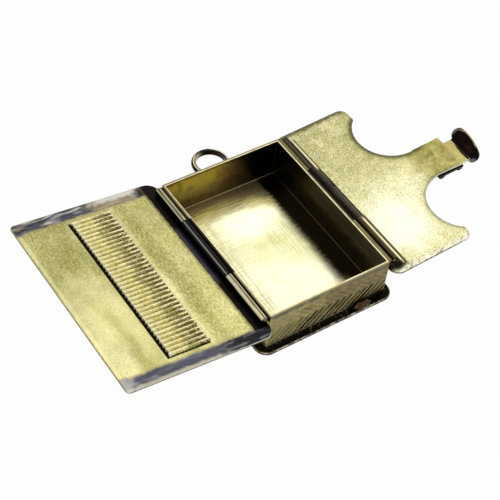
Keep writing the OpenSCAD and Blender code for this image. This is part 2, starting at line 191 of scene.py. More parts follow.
class Metal:
    """A metal's material: an even colour and roughness, with layers of tarnish and wear over them."""

    def __init__(self, name, colour, roughness):
        self.material = bpy.data.materials.new(name)
        self.material.use_nodes = True
        self.tree = self.material.node_tree
        self.surface = self.tree.nodes["Principled BSDF"]
        self.surface.inputs["Metallic"].default_value = 1.0
        self.colour = (*colour, 1)
        self.roughness = roughness
        self.normal = None
        coordinates = self.node("ShaderNodeTexCoord").outputs["Object"]
        scaled = {0: coordinates, "Scale": PER_MM}
        self.mm = self.node("ShaderNodeVectorMath", scaled, operation="SCALE").outputs[0]
        places = self.node("ShaderNodeSeparateXYZ", {0: self.mm}).outputs
        self.x, self.y, self.z = (Value(self, place) for place in places)

    def node(self, kind, inputs=None, **settings):
        return add_node(self.tree, kind, inputs, **settings)

    def math(self, operation, a, b=0.0):
        made = self.node("ShaderNodeMath", {0: a, 1: b}, operation=operation)
        return Value(self, made.outputs[0])

    def noise(self, size_mm, detail, stretch=(1, 1, 1), seed=0):
        """Cloudy noise about 0.5, of features about size_mm, drawn out along axes of low stretch."""
        inputs = {0: self.mm, 1: stretch, 2: (seed, seed, seed)}
        place = self.node("ShaderNodeVectorMath", inputs, operation="MULTIPLY_ADD").outputs[0]
        inputs = {"Vector": place, "Scale": 1 / size_mm, "Detail": detail}
        return Value(self, self.node("ShaderNodeTexNoise", inputs).outputs["Fac"])

    def length(self, a, b):
        """Length of the line whose two legs are a and b."""
        return self.math("SQRT", a * a + b * b)

    def clouds(self, size_mm, detail, zero_at, one_at, **place):
        """Ragged patches, where noise rises from zero_at to one_at."""
        return self.noise(size_mm, detail, **place).ramp(zero_at, one_at)

    def either(self, a, b):
        return self.math("MAXIMUM", a, b)

    def layer(self, mask, colour, strength=1.0, roughness=None):
        """Lays a colour, and a roughness if given, over what is there, where mask is 1."""
        if strength < 1:
            mask *= strength
        inputs = {MIX_FACTOR: mask, MIX_A: self.colour, MIX_B: (*colour, 1)}
        self.colour = self.node("ShaderNodeMix", inputs, data_type="RGBA").outputs[MIX_RESULT]
        if roughness is not None:
            self.roughness += (roughness - self.roughness) * mask

    def grain(self, dark, light, size_mm, strength):
        """Fine specks of a darker and a lighter colour all over."""
        self.layer(self.clouds(size_mm, 2, 0.5, 0.64, seed=57), dark, strength)
        self.layer(self.clouds(0.8 * size_mm, 2, 0.5, 0.64, seed=83), light, strength)

    def away(self, x, y, half_x=1.0, half_y=1.0):
        """Distance from the upright line at x and y, in half widths."""
        return self.length((self.x - x) / half_x, (self.y - y) / half_y)

    def patch(self, x, y, half_x, half_y, ragged, seed):
        """1 in the middle of an oval patch, falling to 0 at its ragged border."""
        away = self.away(x, y, half_x, half_y)
        return away.jitter(self.noise(3, 4, seed=seed), ragged).ramp(1, 0.35)

    def specks(self, colour, spacing_mm, radius_mm, share):
        """Small round pits, one in a share of the cells that are spacing_mm wide."""
        inputs = {"Vector": self.mm, "Scale": 1 / spacing_mm}
        cell = self.node("ShaderNodeTexVoronoi", inputs)
        distance = Value(self, cell.outputs["Distance"])
        near = distance.ramp(radius_mm / spacing_mm, 0.6 * radius_mm / spacing_mm)
        pick = self.node("ShaderNodeSeparateColor", {0: cell.outputs["Color"]}).outputs[0]
        chosen = self.math("LESS_THAN", pick, share)
        self.layer(near * chosen, colour, roughness=0.55)

    def bump(self, height, depth_mm):
        inputs = {"Height": height, "Distance": depth_mm * MM}
        if self.normal:
            inputs["Normal"] = self.normal
        self.normal = self.node("ShaderNodeBump", inputs).outputs[0]

    def done(self):
        feed(self.tree, self.surface.inputs["Base Color"], self.colour)
        feed(self.tree, self.surface.inputs["Roughness"], self.roughness)
        if self.normal:
            feed(self.tree, self.surface.inputs["Normal"], self.normal)
        return self.material


# Linear colours of the metal, of its tarnish and wear, and of painted shade and highlights
PALE_BRASS = (0.57, 0.535, 0.2)
LIGHT_BRASS = (0.86, 0.785, 0.42)
OLIVE_BRASS = (0.25, 0.235, 0.05)
GOLD_BRASS = (0.6, 0.51, 0.18)
WORN_EDGE_AND_HIGHLIGHT = (0.9, 0.84, 0.6)
WORN_WHITE = (1, 0.985, 0.92)
SILVERY = (0.7, 0.68, 0.6)
SLATE_TARNISH = (0.085, 0.087, 0.112)
TAN_TARNISH = (0.34, 0.275, 0.15)
BLUE_BLACK = (0.026, 0.026, 0.036)
BLACK_TARNISH_AND_SHADE = (0.009, 0.007, 0.005)
BROWN_TARNISH_AND_SHADE = (0.1, 0.07, 0.03)
PURPLE_TARNISH = (0.15, 0.115, 0.095)
LID_SIDE_SHADE = (0.07, 0.062, 0.03)
FLAP_OUTLINE = (0.07, 0.062, 0.025)


def outer_face(m, free_x, top_z, slope):
    """The face of the lid or the flap that is outside when it is closed."""
    level = m.z - slope * m.x
    inner = (top_z - slope * free_x) * PER_MM
    return level.ramp(inner - 0.4 * SHEET_T, inner - 0.7 * SHEET_T)


def plain_outside(m, outer):
    """Plain mottled brass on the face that the photograph doesn't show."""
    m.layer(outer, PALE_BRASS, roughness=0.36)
    for size, colour, seed in ((6, OLIVE_BRASS, 81), (4, LIGHT_BRASS, 83), (0.5, OLIVE_BRASS, 85)):
        m.layer(outer * m.clouds(size, 4, 0.46, 0.7, seed=seed), colour, 0.3)


def lid_outside(m):
    return outer_face(m, lid_low.x, lid_high.z, -math.tan(LID_TILT))


# Lid, in millimetres: end and corner of the print that the closed case's rim leaves on it, its margin at the
# free edge, the painted highlight line by that edge, the black painted shade strip by the hinge, and the
# painted shade beside the striker
PRINT_END = 22.8
PRINT_CORNER = 1.6
FREE_MARGIN = 1.3
FREE_LINE = 0.75
HINGE_STRIP = 3.0
STRIKER_SHADE = 0.5

# Stretches of the bands along the lid's far and near ends, along X
FAR_TAN = (-33, -24)
FAR_WHITE = (-32, -23)
FAR_BLACK = (-24, -21)
NEAR_RUBBED = (-26, -32)
NEAR_PALE = (-49, -53.5)
NEAR_BLACK = (-33, -25)

# Streaks along those bands: levels of the noise where each starts and is full, colour and noise seed
BAND_STREAKS = ((0.5, 0.7, SILVERY, 7), (0.5, 0.68, BLUE_BLACK, 29), (0.56, 0.7, TAN_TARNISH, 51))
HINGE_STREAKS = ((0.52, 0.62, (0.3, 0.3, 0.28), 61), (0.48, 0.6, BLACK_TARNISH_AND_SHADE, 77))


def lid_mottle(m, ragged):
    """Olive and light clouds and grain, rougher towards the far end and the hinge."""
    along = (1, 0.4, 1)
    m.layer(m.clouds(6, 4, 0.45, 0.63, stretch=along), OLIVE_BRASS, 0.5)
    m.layer(m.clouds(5, 4, 0.47, 0.66, stretch=along, seed=31), LIGHT_BRASS, 0.55)
    upper = m.y.jitter(m.noise(5, 4, seed=5), 24).ramp(-6, 20)
    m.layer(upper, OLIVE_BRASS, 0.42)
    m.layer(m.patch(STRIKER_LEFT - 5.5, 16, 6, 12, 0.8, 14), OLIVE_BRASS, 0.28)
    m.layer(m.patch(STRIKER_RIGHT + 3.4, 0, 2.8, 26, 0.6, 24), OLIVE_BRASS, 0.72)
    m.layer(m.patch(STRIKER_LEFT - 2.5, -9, 2.6, 19, 0.6, 34), LIGHT_BRASS, 0.4)
    m.layer(m.patch(STRIKER_LEFT - 10, -13, 5, 17, 0.7, 54), LIGHT_BRASS, 0.6)
    m.layer(m.x.jitter(ragged, 0.5).line(STRIKER_RIGHT + 0.6, 0.8), LIGHT_BRASS, 0.5)
    m.grain(OLIVE_BRASS, LIGHT_BRASS, 0.45, 0.26)
    rough = m.either(upper, m.x.ramp(STRIKER_RIGHT, STRIKER_RIGHT + 1.5))
    for colour, strength, seed in ((OLIVE_BRASS, 0.45, 91), (LIGHT_BRASS, 0.3, 93)):
        fine = m.clouds(0.4, 4, 0.5, 0.58, stretch=(1, 0.5, 1), seed=seed)
        m.layer(rough * fine, colour, strength)
    # Painted highlight: light line along the free edge
    m.layer(m.x.jitter(ragged, 0.4).line(LID_FREE_X + FREE_LINE, 0.7), LIGHT_BRASS, 0.6)


def print_distance(m):
    """Distance outside the rim's print on the lid, with its round corners at the free edge."""
    past_x = LID_FREE_X + FREE_MARGIN + PRINT_CORNER - m.x
    past_y = abs(m.y) - (PRINT_END - PRINT_CORNER)
    return m.length(m.either(past_x, 0), m.either(past_y, 0)) - PRINT_CORNER


def lid_bands(m, ragged):
    """Slate tarnish in streaks along both ends of the lid; at the far end it is worn tan and white."""
    outside = print_distance(m).jitter(ragged, 0.9)
    at_ends = abs(m.y).ramp(PRINT_END - 1.1, PRINT_END - 0.2)
    band = outside.ramp(-0.35, 0.35) * at_ends
    far = band * m.y.ramp(-1, 1)
    near = band * m.y.ramp(1, -1)
    m.layer(outside.line(-0.2, 0.7) * at_ends, TAN_TARNISH, 0.6)
    m.layer(band, SLATE_TARNISH, roughness=0.38)
    for start, full, colour, seed in BAND_STREAKS:
        streak = m.clouds(1.2, 5, start, full, stretch=(0.2, 1, 1), seed=seed)
        m.layer(far * streak, colour, 0.75)
        m.layer(near * streak, colour, 0.2)
    along = m.x.jitter(ragged, 6)
    outer = abs(m.y).jitter(ragged, 1.2).ramp(23.9, 24.9)
    m.layer(far * along.span(*FAR_TAN, 3), TAN_TARNISH, 0.7)
    m.layer(far * outer * along.span(*FAR_WHITE, 3), WORN_WHITE, 0.5)
    m.layer(far * along.ramp(*FAR_BLACK), (0.014, 0.015, 0.019), 0.94)
    near_band(m, near, along, ragged)


def near_band(m, band, along, ragged):
    """Rubbed outer edge of the near band, pale at the free corner and black in streaks by the hinge."""
    lightened = m.y.jitter(ragged, 0.8).ramp(-24.8, -25.5)
    m.layer(band * lightened * along.ramp(*NEAR_RUBBED), (0.55, 0.51, 0.37), 0.75)
    m.layer(band * along.ramp(*NEAR_PALE), (0.56, 0.55, 0.49), 0.65)
    by_hinge = band * along.ramp(*NEAR_BLACK)
    m.layer(by_hinge, (0.014, 0.015, 0.018), 0.92)
    for start, full, colour, seed in HINGE_STREAKS:
        streak = m.clouds(0.7, 4, start, full, stretch=(0.16, 1, 1), seed=seed)
        m.layer(by_hinge * streak, colour, 0.4)


def lid_hinge_strip(m, ragged):
    """Painted black shade beside the barrel with a brown border, and a dull painted sheen by its knuckle."""
    strip_x = m.x.jitter(ragged, 0.6)
    hinge_x = lid_axis.x * PER_MM - HINGE_STRIP
    by_barrel = m.y.ramp(-PRINT_END - 0.4, -PRINT_END)
    m.layer(strip_x.ramp(hinge_x - 0.9, hinge_x) * by_barrel, BROWN_TARNISH_AND_SHADE, 0.7)
    strip = strip_x.ramp(hinge_x - 0.1, hinge_x + 0.15) * by_barrel
    m.layer(strip, BLACK_TARNISH_AND_SHADE, roughness=0.4)
    by_knuckle = m.y.span(*LID_KNUCKLE, 0.3)
    m.layer(strip * by_knuckle, (0.016, 0.015, 0.019), roughness=0.34)
    m.layer(m.x.line(hinge_x + 0.5, 0.45) * by_knuckle, (0.055, 0.053, 0.066), 0.8)


def striker_shade(m):
    """Painted shade: black line on the lid along two sides of the striker."""
    beside = m.x.span(STRIKER_LEFT - STRIKER_SHADE, STRIKER_LEFT + 1, 0.08)
    beside *= m.y.span(STRIKER_NEAR - 0.2, STRIKER_FAR - 0.1, 0.1)
    below = m.x.span(STRIKER_LEFT - 0.3, STRIKER_RIGHT - 0.1, 0.2)
    below *= m.y.span(STRIKER_NEAR - 0.16, STRIKER_NEAR + 1, 0.12)
    m.layer(m.either(beside, below), BLACK_TARNISH_AND_SHADE, roughness=0.5)


def lid_sides(m):
    """The narrow sides of the lid's sheet, at its free edge and both ends."""
    at_free = m.x.ramp(LID_FREE_X + 0.12, LID_FREE_X + 0.1)
    at_end = abs(m.y).ramp(LID_END_Y - 0.04, LID_END_Y - 0.02)
    return m.either(at_free, at_end)


def lid_material():
    m = Metal("lid_brass", PALE_BRASS, 0.36)
    ragged = m.noise(1.6, 4, seed=11)
    lid_mottle(m, ragged)
    lid_bands(m, ragged)
    lid_hinge_strip(m, ragged)
    striker_shade(m)
    plain_outside(m, lid_outside(m))
    # Painted shade on the narrow sides of the lid's sheet
    m.layer(lid_sides(m), LID_SIDE_SHADE, roughness=0.4)
    m.specks(BROWN_TARNISH_AND_SHADE, 2.6, 0.17, 0.14)
    m.bump(m.noise(0.6, 3, seed=3), 0.05)
    m.bump(m.noise(11, 2, seed=21), 0.5)
    return m.done()


# Flap, in millimetres: middles and radius of its two bays, starts of its tongue and neck, edge of the brown
# painted shade strip by the hinge, and the painted highlight line along that strip
FAR_BAY = (43.2, 13.15)
NEAR_BAY = (44.8, -14.55)
BAY_R = 9.0
TONGUE_FROM = 38
NECK_FROM = 51
FLAP_STRIP = 21.2
FLAP_LINE = 20.75


def flap_tongue(m, cloud, ragged):
    """Olive tongue, mottled with gold and brown, and a brighter neck."""
    tongue = m.x.jitter(cloud, 8).ramp(TONGUE_FROM, TONGUE_FROM + 7)
    tongue *= m.y.ramp(-15, -10)
    m.layer(tongue, (0.245, 0.215, 0.045), 0.78)
    m.layer(tongue * m.clouds(1.3, 4, 0.48, 0.62, seed=49), (0.54, 0.47, 0.14), 0.6)
    outer = m.x.ramp(TONGUE_FROM + 3, TONGUE_FROM + 8)
    m.layer(outer * m.clouds(2.6, 4, 0.46, 0.62, seed=9), (0.15, 0.115, 0.03), 0.65)
    tip = m.x.ramp(TONGUE_FROM + 9, TONGUE_FROM + 13)
    m.layer(tip * m.clouds(1.8, 4, 0.46, 0.58, seed=69), (0.24, 0.145, 0.045), 0.5)
    neck = m.x.jitter(ragged, 3).ramp(NECK_FROM - 1, NECK_FROM + 1)
    m.layer(neck, (0.54, 0.48, 0.17), 0.45)


def flap_outline(m, ragged):
    """Dark line of tarnish along the far edge, the far horn and both bays."""
    far_edge = m.y.jitter(ragged, 2).ramp(FLAP_FAR_Y - 2, FLAP_FAR_Y - 0.4)
    m.layer(far_edge, FLAP_OUTLINE, 0.85)
    for place, wide, strength in ((FAR_BAY, 1.7, 0.9), (NEAR_BAY, 1, 0.6)):
        past = (m.away(*place) - BAY_R).jitter(ragged, 1.2)
        m.layer(past.ramp(2.6 * wide, 0.3), OLIVE_BRASS, 0.55 * strength)
        m.layer(past.ramp(wide, 0.1), FLAP_OUTLINE, strength)


def flap_near_edge(m, ragged):
    """Silvery near edge with purple flecks."""
    edge = m.y.jitter(ragged, 2.4).ramp(FLAP_NEAR_Y + 1.6, FLAP_NEAR_Y)
    m.layer(edge, (0.74, 0.72, 0.68), 0.75)
    flecks = m.y.ramp(FLAP_NEAR_Y + 2.6, FLAP_NEAR_Y) * m.clouds(0.8, 3, 0.55, 0.64, seed=6)
    m.layer(flecks, PURPLE_TARNISH, 0.8)


def flap_hinge_strip(m, ragged):
    """Painted shade in brown, black at the near end, and a painted highlight, dull by the flap's knuckle."""
    by_barrel = abs(m.y).ramp(RIM_Y + 0.3, RIM_Y - 0.3)
    strip = m.x.jitter(ragged, 0.3).ramp(FLAP_STRIP + 0.2, FLAP_STRIP) * by_barrel
    m.layer(strip, (0.055, 0.038, 0.014), 0.95)
    beside = m.x.ramp(FLAP_STRIP + 0.5, FLAP_STRIP + 0.3) * m.y.span(-RIM_Y, -7, 1.5)
    m.layer(beside, (0.055, 0.04, 0.014), 0.9)
    near, far = FLAP_KNUCKLE
    own = m.y.span(near + 2, far, 1.8)
    m.layer(strip * own, (0.008, 0.006, 0.004), 0.95)
    line = m.x.span(FLAP_LINE - 0.1, FLAP_LINE + 0.1, 0.22) * by_barrel
    painted_light = m.clouds(1.5, 4, 0.34, 0.5, stretch=(1, 0.4, 1), seed=63)
    m.layer(line * (1.0 - own), (0.82, 0.72, 0.42), 0.92, roughness=0.28)
    m.layer(line * own * painted_light, (0.11, 0.095, 0.075), 0.85, roughness=0.28)
    near_end = m.patch(FLAP_STRIP - 2.2, FLAP_NEAR_Y + 2.4, 2.4, 1.8, 0.8, 5)
    m.layer(near_end, BLACK_TARNISH_AND_SHADE, 0.97, roughness=0.55)


def flap_material():
    m = Metal("flap_brass", (0.62, 0.585, 0.275), 0.34)
    cloud = m.noise(5, 4, seed=71)
    ragged = m.noise(1.3, 4, seed=15)
    m.layer(m.y.jitter(cloud, 18).ramp(-4, 10), (0.4, 0.375, 0.13), 0.75)
    m.layer(m.clouds(4, 4, 0.5, 0.68, seed=31), LIGHT_BRASS, 0.45)
    # Painted highlight: pale patch towards the near side
    m.layer(m.patch(31, -11, 16, 15, 0.9, 4), (0.9, 0.87, 0.6), 0.55)
    m.grain((0.2, 0.175, 0.045), (0.95, 0.92, 0.68), 0.36, 0.6)
    # Painted highlight: a paler patch within it
    m.layer(m.patch(26, -12.5, 10.5, 12, 0.8, 8), (0.97, 0.945, 0.76), 0.65)
    flap_tongue(m, cloud, ragged)
    flap_outline(m, ragged)
    flap_near_edge(m, ragged)
    flap_hinge_strip(m, ragged)
    # Painted shade: black where the neck bends up into the thumb piece
    neck_end = m.x - 0.038 * (m.y + 3.5) ** 2
    m.layer(neck_end.jitter(ragged, 0.5).ramp(53, 53.6), BLACK_TARNISH_AND_SHADE, roughness=0.4)
    plain_outside(m, outer_face(m, flap_high.x, flap_high.z, math.tan(FLAP_TILT)))
    m.specks(BROWN_TARNISH_AND_SHADE, 1.4, 0.14, 0.07)
    m.bump(m.noise(0.5, 3, seed=3), 0.06)
    m.bump(m.noise(11, 2, seed=27), 0.5)
    return m.done()


RIBS = 36


def striker_grooves(m, painted_light, hinge_side):
    """Painted shade in brown in the grooves between the ribs, most so towards the hinge."""
    slope = math.tan(LID_TILT)
    rise = m.z + m.x * slope
    seat = striker_low.z * PER_MM + STRIKER_RIGHT * slope
    low_part = rise.ramp(seat + 0.46, seat + 0.32) * m.x.ramp(STRIKER_LEFT + 0.5, STRIKER_LEFT + 1.1)
    m.layer(low_part, (0.3, 0.24, 0.065), 0.5, roughness=0.5)
    m.layer(low_part * painted_light.ramp(0.52, 0.64), (0.09, 0.065, 0.02), 0.7)
    m.layer(low_part * hinge_side, (0.045, 0.032, 0.01), 0.88)


def striker_material():
    """Grainy gold ribs with painted highlights on crests, tips and ends, and painted shade in the grooves.
    """
    m = Metal("striker_brass", (0.88, 0.79, 0.3), 0.34)
    left, right = STRIKER_LEFT, STRIKER_RIGHT
    rows_per_mm = RIBS / (STRIKER_FAR - STRIKER_NEAR)
    rows = (m.y - STRIKER_NEAR) * rows_per_mm
    rows = rows.jitter(m.noise(1.1, 4, stretch=(0.6, 1, 1), seed=2), 0.8)
    phase = m.math("FRACT", rows)
    cloud = m.noise(2, 4, seed=9)
    painted_light = m.noise(0.9, 4, stretch=(0.6, 1, 1), seed=37)
    hinge_side = m.x.jitter(cloud, 3).ramp(left + 6.2, left + 8.4)
    m.layer(m.clouds(0.6, 3, 0.48, 0.64, seed=19), (0.42, 0.35, 0.09), 0.55)
    dull = m.x.jitter(cloud, 4).span(left + 5.8, left + 7.2, 1.6)
    m.layer(dull, (0.17, 0.145, 0.035), 0.65)
    # Painted highlight on the crests, and painted shade on the near flanks
    crest = phase.span(0.46, 0.7, 0.2)
    m.layer(crest * painted_light.ramp(0.42, 0.56), (0.98, 0.91, 0.52), 0.7, roughness=0.3)
    flank = phase.span(0.04, 0.28, 0.14)
    m.layer(flank * painted_light.ramp(0.6, 0.46), (0.3, 0.24, 0.06), 0.3)
    m.layer(flank * hinge_side, (0.11, 0.085, 0.02), 0.85)
    striker_grooves(m, painted_light, hinge_side)
    # Painted highlights on the rib tips and left ends, and painted glints
    tips = crest * m.x.jitter(cloud, 1).ramp(right - 1.6, right - 0.7)
    m.layer(tips, (1, 0.94, 0.66), 0.7, roughness=0.28)
    m.layer(m.x.jitter(cloud, 1.5).ramp(left + 2.4, left + 0.3), (0.98, 0.93, 0.64), 0.45)
    m.layer(m.clouds(0.42, 2, 0.54, 0.64, seed=41), (1, 0.96, 0.66), 0.55)
    m.layer(m.x.ramp(left + 0.7, left + 0.4), (1, 0.94, 0.66), roughness=0.65)
    m.bump(m.noise(0.35, 3, seed=3), 0.1)
    return m.done()


def around(m, axis):
    """Angle from straight up about a hinge's axis, in degrees, positive towards +X."""
    across = m.x - axis.x * PER_MM
    above = m.z - axis.z * PER_MM
    return m.math("ARCTAN2", across, above) * (180 / math.pi)


# Barrels, with angles from straight up towards +X: each band of painted reflection's start, end and colour,
# and each painted highlight line's middle, half width and strength
BARRELS = {
    "lid_hinge_far": {
        "bands": ((-48, 8, (0.24, 0.22, 0.1)), (24, 70, (0.1, 0.095, 0.035))),
        "lines": ((-46, 12, 0.85), (4, 10, 0.6)),
    },
    "lid_hinge_near": {
        "bands": ((-62, -16, (0.92, 0.83, 0.54)), (-14, 14, (0.26, 0.21, 0.09))),
        "lines": ((-44, 20, 0.95), (18, 10, 0.85)),
    },
    "flap_hinge_far": {
        "bands": ((-100, -62, (0.16, 0.15, 0.05)), (-56, 0, (0.06, 0.045, 0.022))),
        "lines": ((-20, 10, 0.12),),
    },
    "flap_hinge_near": {
        "bands": ((-100, -64, (0.17, 0.155, 0.055)), (-18, 40, (0.06, 0.042, 0.014))),
        "lines": ((30, 12, 0.1),),
    },
}
# Middle knuckles: colour of the painted sheen and of the painted highlight line, and the line's angle
NAVY_TUBE = {"band": (0.024, 0.025, 0.036), "line": (0.4, 0.37, 0.29), "line_at": -32}
BROWN_TUBE = {"band": (0.015, 0.012, 0.009), "line": (0.07, 0.056, 0.036), "line_at": 0}


def knuckle_material(name, axis):
    """Black tube as painted shade, with bands of painted reflection and painted highlight lines along it."""
    m = Metal(name + "_brass", BLACK_TARNISH_AND_SHADE, 0.3)
    angle = around(m, axis).jitter(m.noise(2.5, 3, stretch=(1, 0.3, 1)), 10)
    for start, end, colour in BARRELS[name]["bands"]:
        m.layer(angle.span(start, end, 8), colour, roughness=0.3)
    m.layer(m.clouds(0.9, 3, 0.5, 0.7, stretch=(1, 0.2, 1), seed=4), BLACK_TARNISH_AND_SHADE, 0.4)
    for middle, half, strength in BARRELS[name]["lines"]:
        m.layer(angle.line(middle, half), WORN_EDGE_AND_HIGHLIGHT, strength, roughness=0.25)
    m.bump(m.noise(0.6, 2, stretch=(1, 0.1, 1)), 0.03)
    return m.done()


def dark_knuckle_material(name, axis, tube):
    """Blackened tube with a soft painted sheen and a dull painted highlight line along it."""
    m = Metal(name, (0.012, 0.01, 0.01), 0.32)
    angle = around(m, axis).jitter(m.noise(2.5, 3, stretch=(1, 0.3, 1)), 12)
    m.layer(angle.span(-80, -20, 14), tube["band"], roughness=0.34)
    broken = m.clouds(1.6, 3, 0.36, 0.52, stretch=(1, 0.3, 1), seed=14)
    m.layer(angle.line(tube["line_at"], 16) * broken, tube["line"], 0.9, roughness=0.3)
    m.layer(m.clouds(1, 3, 0.5, 0.75, stretch=(1, 0.2, 1), seed=4), BROWN_TARNISH_AND_SHADE, 0.25)
    m.bump(m.noise(0.6, 2, stretch=(1, 0.1, 1)), 0.03)
    return m.done()


def rim_material():
    """Walls' rim, rubbed bright, with painted shade by the hinges, black by the lid's middle knuckle."""
    m = Metal("rim", (0.74, 0.65, 0.4), 0.28)
    m.layer(m.clouds(1.4, 3, 0.48, 0.66), (0.46, 0.38, 0.17), 0.6)
    m.layer(m.x.ramp(RIM_X - 0.46, RIM_X - 0.34), (0.06, 0.05, 0.02), 0.9)
    m.layer(m.x.ramp(0.5 - RIM_X, 0.38 - RIM_X), (0.15, 0.14, 0.055), 0.9)
    outer = (m.y + RIM_Y).jitter(m.noise(1.5, 3, seed=6), 0.3)
    m.layer(outer.ramp(0.5, 0.3), (0.17, 0.14, 0.06), 0.85)
    behind = (RIM_Y - m.y).jitter(m.noise(1.2, 3, seed=16), 0.3)
    m.layer(behind.ramp(0.5, 0.36), (0.14, 0.125, 0.06), 0.85)
    by_knuckle = m.y.span(*LID_KNUCKLE, 0.4) * m.x.ramp(0.62 - RIM_X, 0.46 - RIM_X)
    m.layer(by_knuckle, BLACK_TARNISH_AND_SHADE, 0.95, roughness=0.36)
    m.bump(m.noise(0.4, 2), 0.02)
    return m.done()


def engraved_wall_material():
    """Khaki metal with paler patches, purple under the rim and black at the foot."""
    m = Metal("engraved_wall", (0.28, 0.225, 0.075), 0.36)
    m.layer(m.clouds(2.2, 5, 0.44, 0.6), (0.4, 0.34, 0.12), 0.85)
    m.layer(m.clouds(1.6, 4, 0.5, 0.66, seed=13), (0.13, 0.085, 0.045), 0.75)
    m.layer(m.x.jitter(m.noise(3, 3, seed=33), 8).ramp(-6, -13), (0.3, 0.265, 0.1), 0.6)
    under_rim = m.z.jitter(m.noise(2, 3, seed=7), 1.6).ramp(RIM_Z - 2, RIM_Z - 0.7)
    streaks = m.clouds(2.2, 3, 0.4, 0.56, stretch=(0.5, 1, 1), seed=3)
    m.layer(under_rim * streaks, (0.085, 0.062, 0.055), 0.85)
    upper_right = m.z.jitter(m.noise(2, 3, seed=47), 2).ramp(4, 7) * m.x.ramp(-8, 4)
    m.layer(upper_right, (0.13, 0.1, 0.042), 0.55)
    lower_half = m.z.jitter(m.noise(2, 3, seed=37), 1.2).ramp(4.2, 1.6)
    lower_half *= m.x.jitter(m.noise(3, 3, seed=39), 4).ramp(12, 2)
    m.layer(lower_half, (0.78, 0.68, 0.33), 0.85, roughness=0.5)
    foot = m.z.jitter(m.noise(1.2, 3, seed=17), 1)
    m.layer(foot.ramp(1.15, 0.65), BLACK_TARNISH_AND_SHADE, 0.92)
    sooted = foot.ramp(3, 1.5) * m.x.jitter(m.noise(3, 3, seed=43), 4).ramp(5, 9)
    m.layer(sooted, (0.03, 0.026, 0.018), 0.85)
    m.bump(m.noise(0.5, 3), 0.05)
    return m.done()


def inner_wall_material():
    """Painted shade inside the walls, near black by the flap; painted light, brown gold, at the far wall's
    lid end.
    """
    m = Metal("inner_wall", (0.13, 0.104, 0.052), 0.28)
    m.layer(m.z.ramp(7, 8.8), (0.05, 0.039, 0.017))
    m.layer(m.y.ramp(14, 20), (0.03, 0.024, 0.012))
    far = m.y.ramp(21, 21.5)
    left = m.x.jitter(m.noise(6, 3), 6).ramp(14, -5)
    m.layer(far * left, (0.28, 0.22, 0.095), roughness=0.3)
    painted_glow = m.x.span(-9, 0, 5) * m.z.ramp(3.5, 7) * far
    m.layer(painted_glow * m.clouds(4, 3, 0.35, 0.6, seed=3), (0.44, 0.35, 0.09), roughness=0.3)
    painted_gold_light = m.x.jitter(m.noise(4, 3, seed=53), 5).ramp(5, -3) * m.z.ramp(6.5, 9) * far
    m.layer(painted_gold_light, (0.56, 0.42, 0.05), 0.8, roughness=0.3)
    reddened = m.x.jitter(m.noise(3, 3, seed=47), 3).span(1, 5, 3) * m.z.span(4, 9, 2)
    m.layer(reddened * far, (0.17, 0.09, 0.06), 0.6)
    under_rim = m.z.jitter(m.noise(2, 3, seed=39), 0.8).ramp(RIM_Z - 0.9, RIM_Z - 0.4)
    m.layer(under_rim * far, (0.16, 0.065, 0.02), 0.8)
    m.layer(m.clouds(3, 4, 0.48, 0.7, seed=23), (0.05, 0.028, 0.02), 0.6)
    m.bump(m.noise(0.8, 3, stretch=(0.2, 0.2, 2)), 0.03)
    return m.done()


# Floor's bands of painted light, then of tarnish and painted shade, towards the far wall: where each starts
# and is full, its colour and its roughness
FAR_FLOOR_BANDS = (
    (14.5, 17, (0.95, 0.9, 0.46), 0.34),
    (16.5, 18.5, (0.86, 0.76, 0.24), 0.42),
    (18, 20, (0.42, 0.34, 0.11), 0.5),
    (19.5, 22.5, (0.2, 0.15, 0.065), 0.5),
)


def floor_scratches(m, crosswise):
    """Fine brushed lines: thick beside the lid's wall, and faint across the middle."""
    lengthwise = m.noise(0.25, 2, stretch=(1, 0.03, 1), seed=1)
    beside_lid = m.x.jitter(m.noise(5, 3), 4).ramp(-5, -11)
    m.layer(beside_lid * lengthwise.ramp(0.46, 0.58), (0.22, 0.19, 0.05), 0.75)
    m.layer(beside_lid * crosswise.ramp(0.5, 0.62), (0.26, 0.225, 0.06), 0.5)
    middle = m.patch(6, 2, 6, 10, 0.5, 12)
    m.layer(middle * lengthwise.ramp(0.48, 0.6), (0.34, 0.31, 0.1), 0.5)
    m.layer(crosswise.ramp(0.52, 0.64), (0.38, 0.345, 0.13), 0.2)


def far_floor_bands(m, crosswise):
    """Painted light, tarnish and painted shade bowed along the far wall, drawn out into dark and bright
    lines.
    """
    back = (m.y + 0.02 * (m.x + 4) ** 2).jitter(crosswise, 2.4)
    for zero_at, one_at, colour, roughness in FAR_FLOOR_BANDS:
        m.layer(back.ramp(zero_at, one_at), colour, roughness=roughness)
    drawn = m.noise(0.22, 3, stretch=(0.04, 1, 1), seed=67)
    m.layer(back.ramp(14, 17) * drawn.ramp(0.5, 0.58), (0.2, 0.155, 0.045), 0.6)
    m.layer(back.span(16, 19, 2) * drawn.ramp(0.47, 0.4), (1, 0.92, 0.42), 0.6)


def flap_wall_shade(m):
    """Painted shade: black strip of floor by the flap's wall, ragged, with painted light in its near corner.
    """
    by_flap = m.x.jitter(m.noise(0.7, 4, stretch=(0.4, 1, 1), seed=9), 2)
    m.layer(by_flap.ramp(9.9, 11.6), (0.045, 0.036, 0.018), roughness=0.18)
    near_corner = m.y.ramp(-13, -19) * by_flap.ramp(13.4, 11.8)
    m.layer(near_corner, (0.8, 0.74, 0.46), 0.9, roughness=0.45)


